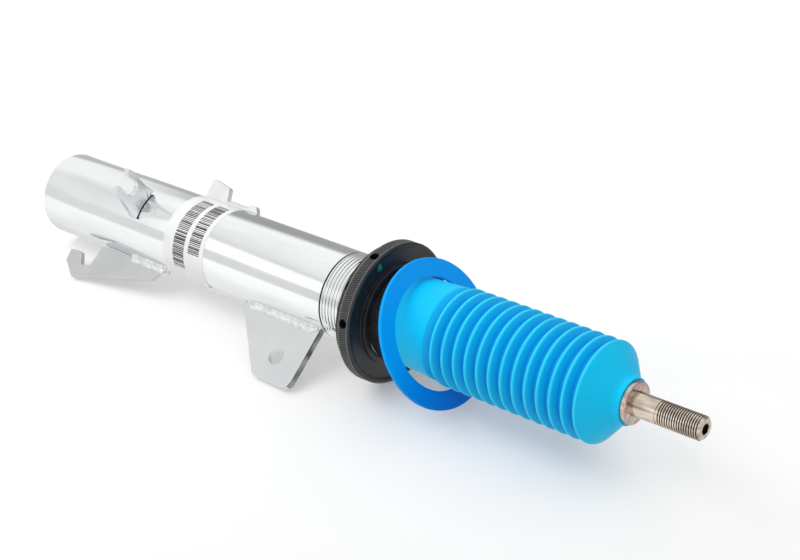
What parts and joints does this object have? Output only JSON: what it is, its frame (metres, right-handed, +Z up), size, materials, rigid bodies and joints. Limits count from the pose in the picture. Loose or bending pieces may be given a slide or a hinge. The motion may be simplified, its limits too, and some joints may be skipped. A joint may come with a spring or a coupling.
{
  "type": "strut assembly",
  "caption": "Threaded-body suspension strut with welded plates, a knurled spring perch and lock ring, a loose pad ring, a bellows boot and a threaded end stud, lying on its side.",
  "frame": {"origin": "centre of the strut tube's lower end face, on the strut's axis", "axes": "+X along the strut's axis from the lower end to the end stud, +Z up as the strut lies on a floor, -Y the side that carries the link plate and the hose hook"},
  "size_m": [0.5124, 0.0995, 0.0942],
  "materials": {
    "zinc_plated_tube": "satin bright zinc plating",
    "zinc_plated_plate": "satin zinc plating",
    "weld_metal": "plated weld bead",
    "bright_steel": "turned",
    "bush_bronze": "sintered bronze",
    "black_rubber": "matt",
    "brown_rubber": "matt",
    "hard_chrome": "ground and polished",
    "foam_cream": "microcellular foam",
    "spring_steel": "blued",
    "sintered_iron": "sintered",
    "band_green": "filled PTFE",
    "turned_aluminium": "turned",
    "phosphated_stud": "oiled phosphate",
    "yellow_zinc": "yellow passivated zinc",
    "boot_blue": "soft moulded plastic, satin",
    "black_anodised": "black anodised, knurled rim",
    "pad_blue": "moulded plastic"
  },
  "bodies": {
    "housing": {"strut_tube": "zinc_plated_tube", "tube_foot": "bright_steel", "link_plate": "zinc_plated_plate", "hose_hook": "zinc_plated_plate", "line_clip": "zinc_plated_plate", "rear_bracket": "zinc_plated_plate", "weld_beads": "weld_metal", "lower_guide_bush": "bush_bronze", "upper_guide_bush": "bush_bronze", "guide_head": "black_anodised", "wiper_seal": "black_rubber", "piston_rod": "hard_chrome", "rod_washer": "bright_steel", "rod_nut": "bright_steel", "bump_stop": "foam_cream", "rebound_stop": "brown_rubber", "compression_shims": "spring_steel", "piston": "sintered_iron", "piston_band": "band_green", "rebound_shims": "spring_steel", "piston_nut": "bright_steel"},
    "boot_top": {"dust_boot": "boot_blue", "boot_washer": "yellow_zinc"},
    "damper": {"damper_tube": "hard_chrome", "guide_clip": "spring_steel", "rod_guide": "turned_aluminium", "rod_seal": "black_rubber", "end_stud": "phosphated_stud"},
    "gas_piston": {"floating_piston": "turned_aluminium", "floating_piston_ring": "black_rubber"},
    "pad": {"pad_ring": "pad_blue"},
    "perch": {"spring_perch": "black_anodised", "lock_ring": "black_anodised"}
  },
  "joints": [
    {"name": "damper_slide", "type": "slide", "parent": "housing", "child": "boot_top", "axis": [1, 0, 0], "range_m": [-0.07, 0], "stiffness_N_per_m": 150, "springref_m": 0.3, "deforming": ["dust_boot"]},
    {"name": "damper_turn", "type": "hinge", "parent": "boot_top", "child": "damper", "pos_m": [0.465, 0, 0], "axis": [1, 0, 0], "continuous": true},
    {"name": "piston_float", "type": "slide", "parent": "damper", "child": "gas_piston", "axis": [1, 0, 0], "range_m": [0, 0.0088]},
    {"name": "perch_travel", "type": "slide", "parent": "housing", "child": "pad", "axis": [1, 0, 0], "range_m": [-0.0225, 0.005]},
    {"name": "perch_turn", "type": "hinge", "parent": "pad", "child": "perch", "pos_m": [0.293, 0, 0], "axis": [1, 0, 0], "range_deg": [-3240, 720]}
  ],
  "couplings": [
    {"joint": "piston_float", "follows": "damper_slide", "ratio": -0.1225},
    {"joint": "perch_travel", "follows": "perch_turn", "m_per_rad": 0.00039789}
  ]
}
